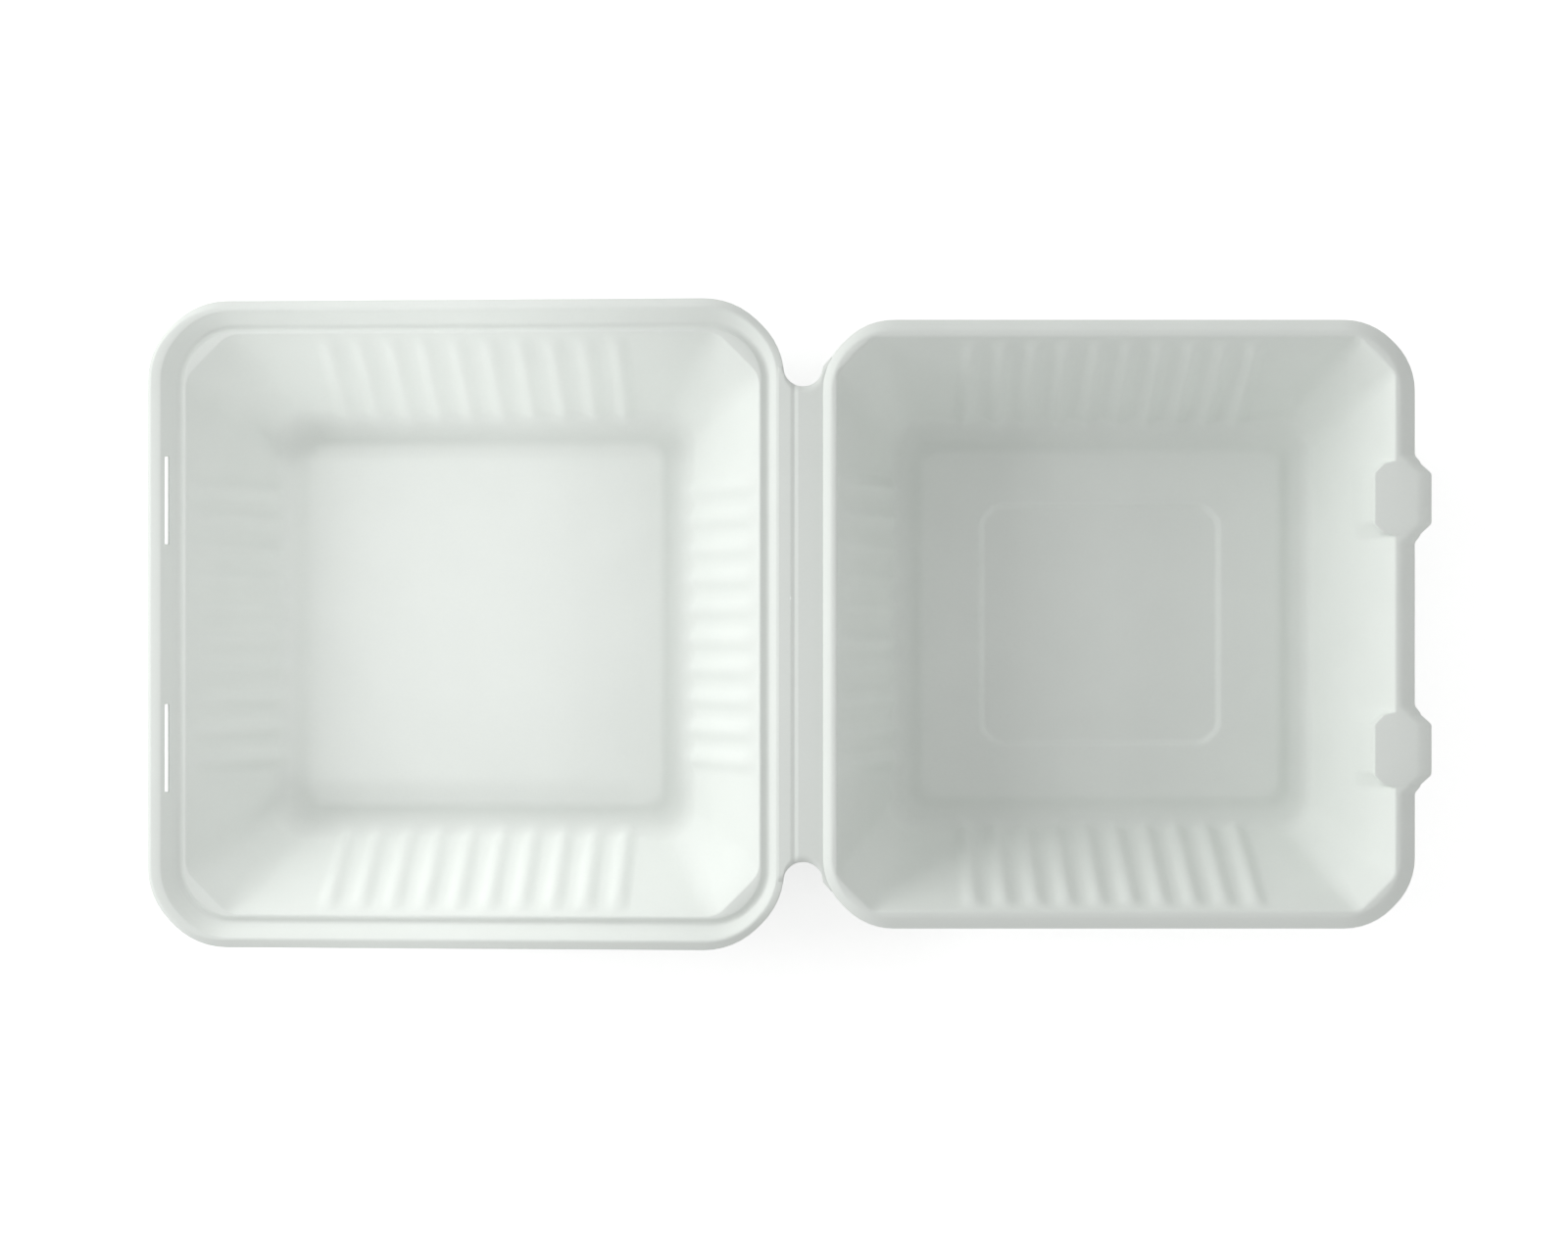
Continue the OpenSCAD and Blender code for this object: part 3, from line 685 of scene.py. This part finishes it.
# The lap under the base's rim is short along its middle and full at its ends
row_x, share_y = np.meshgrid(across, np.linspace(-1, 1, WEB_STEPS + 1), indexing="ij")
lap_share = WEB_LAP_SHARE + (1 - WEB_LAP_SHARE) * np.abs(share_y) ** 16
web_x = np.where(row_x > HINGE_BASE, HINGE_BASE + (row_x - HINGE_BASE) * lap_share, row_x)
web_y = share_y * reach_y[:, None]


def web_place(z):
    """The web's points at height z for each row. The lid's half leans with the open lid, about the
    fold's axis; the base's half is level; between them the lean fades by the cubic 3t2 - 2t3."""
    t = np.clip((web_x + GROOVE_HALF) / (2 * GROOVE_HALF), 0, 1)
    lean = tilt * (1 - t * t * (3 - 2 * t))
    c, s = np.cos(lean), np.sin(lean)
    z = z[:, None] - fold_rise
    points = np.stack([web_x * c - z * s + crease, web_y, web_x * s + z * c + fold_rise + BASE_H], axis=-1)
    return points.reshape(-1, 3)


web_points = np.concatenate([
    web_place(WEB_PROUD - GROOVE_DEPTH * groove),
    web_place(GROOVE_UNDER * groove - WALL),
])
n_x, n_y = web_x.shape
web_top = grid_quads(n_x, n_y, False)[..., [0, 3, 2, 1]].reshape(-1, 4)
web_under = web_top[:, ::-1] + n_x * n_y
border = np.concatenate([
    np.arange(n_x) * n_y,
    (n_x - 1) * n_y + np.arange(1, n_y),
    np.arange(n_x - 2, -1, -1) * n_y + n_y - 1,
    np.arange(n_y - 2, 0, -1),
])
after = np.roll(border, -1)
web_sides = np.stack([border, border + n_x * n_y, after + n_x * n_y, after], axis=1)
hinge_web = add_piece("hinge_web", web_points, np.concatenate([web_top, web_under, web_sides]).tolist())
hinge_web.data.materials.append(pulp)
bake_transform(hinge_web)


# Table
# A plain pale floor that keeps the box's shadow, and glows for the camera alone, so that it
# looks white without lighting the box.

TABLE_HALF = 3.0
TABLE_GREY = (0.82, 0.82, 0.82, 1.0)
TABLE_GLOW = 0.55
WHITE = (1.0, 1.0, 1.0, 1.0)
table_corners = np.array([(-1, -1, 0), (1, -1, 0), (1, 1, 0), (-1, 1, 0)]) * TABLE_HALF / MM
table = add_piece("table", table_corners, [(0, 1, 2, 3)])
table_white = bpy.data.materials.new("table_white")
table_white.use_nodes = True
Node.tree = table_white.node_tree
Node.tree.nodes.clear()
matt = Node.make("ShaderNodeBsdfDiffuse", None, Color=TABLE_GREY)
seen = Node(Node.make("ShaderNodeLightPath").outputs["Is Camera Ray"])
glow = Node.make("ShaderNodeEmission", None, Color=WHITE, Strength=seen * TABLE_GLOW)
both = Node.make("ShaderNodeAddShader", None, _0=Node(matt.outputs[0]), _1=Node(glow.outputs[0]))
Node.make("ShaderNodeOutputMaterial", None, Surface=Node(both.outputs[0]))
table.data.materials.append(table_white)


# Lamps
# Soft daylight from the left and a little from the back: one big key, three weak fills round
# the box, and three narrow spots that lift the lid's floor and the base. The daylight all
# round is weak too, and white to the camera.

DAYLIGHT = 0.49


def lamp(name, place, aim, size, power, spread=180.0):
    """A square lamp of this size and power at a place, turned to its aim, in a cone of this spread."""
    data = bpy.data.lights.new(name, "AREA")
    data.shape = "SQUARE"
    data.size = size
    data.energy = power
    data.spread = math.radians(spread)
    obj = bpy.data.objects.new(name, data)
    obj.location = place
    obj.rotation_euler = (Vector(aim) - Vector(place)).to_track_quat("-Z", "Y").to_euler()
    bpy.context.scene.collection.objects.link(obj)


box_middle = (0, 0, 0.03)
lamp("key", (-4.13, 1.18, 1.48), box_middle, 2.9, 125.0)
lamp("back fill", (0.1, 2.6, 0.95), box_middle, 1.6, 6.1)
lamp("front fill", (0.1, -2.6, 0.95), box_middle, 1.6, 9.2)
lamp("right fill", (2.7, 0, 0.95), box_middle, 1.6, 4.1)
lamp("lid spot back", (-0.2, 0.8, 0.59), (-0.13, -0.055, 0.03), 0.1, 0.039, 19.0)
lamp("lid spot front", (-0.2, -0.8, 0.55), (-0.13, 0.07, 0.03), 0.1, 0.026, 15.0)
lamp("base spot right", (1.0, 0.0, 0.5), (0.04, 0.0, 0.0), 0.1, 0.0038, 13.0)
world = bpy.data.worlds.new("daylight")
bpy.context.scene.world = world
world.use_nodes = True
Node.tree = world.node_tree
Node.tree.nodes.clear()
seen = Node(Node.make("ShaderNodeLightPath").outputs["Is Camera Ray"])
sky = Node.make("ShaderNodeBackground", None, Color=WHITE, Strength=DAYLIGHT + seen * (1 - DAYLIGHT))
Node.make("ShaderNodeOutputWorld", None, Surface=Node(sky.outputs[0]))
bpy.context.scene.view_settings.view_transform = "Standard"
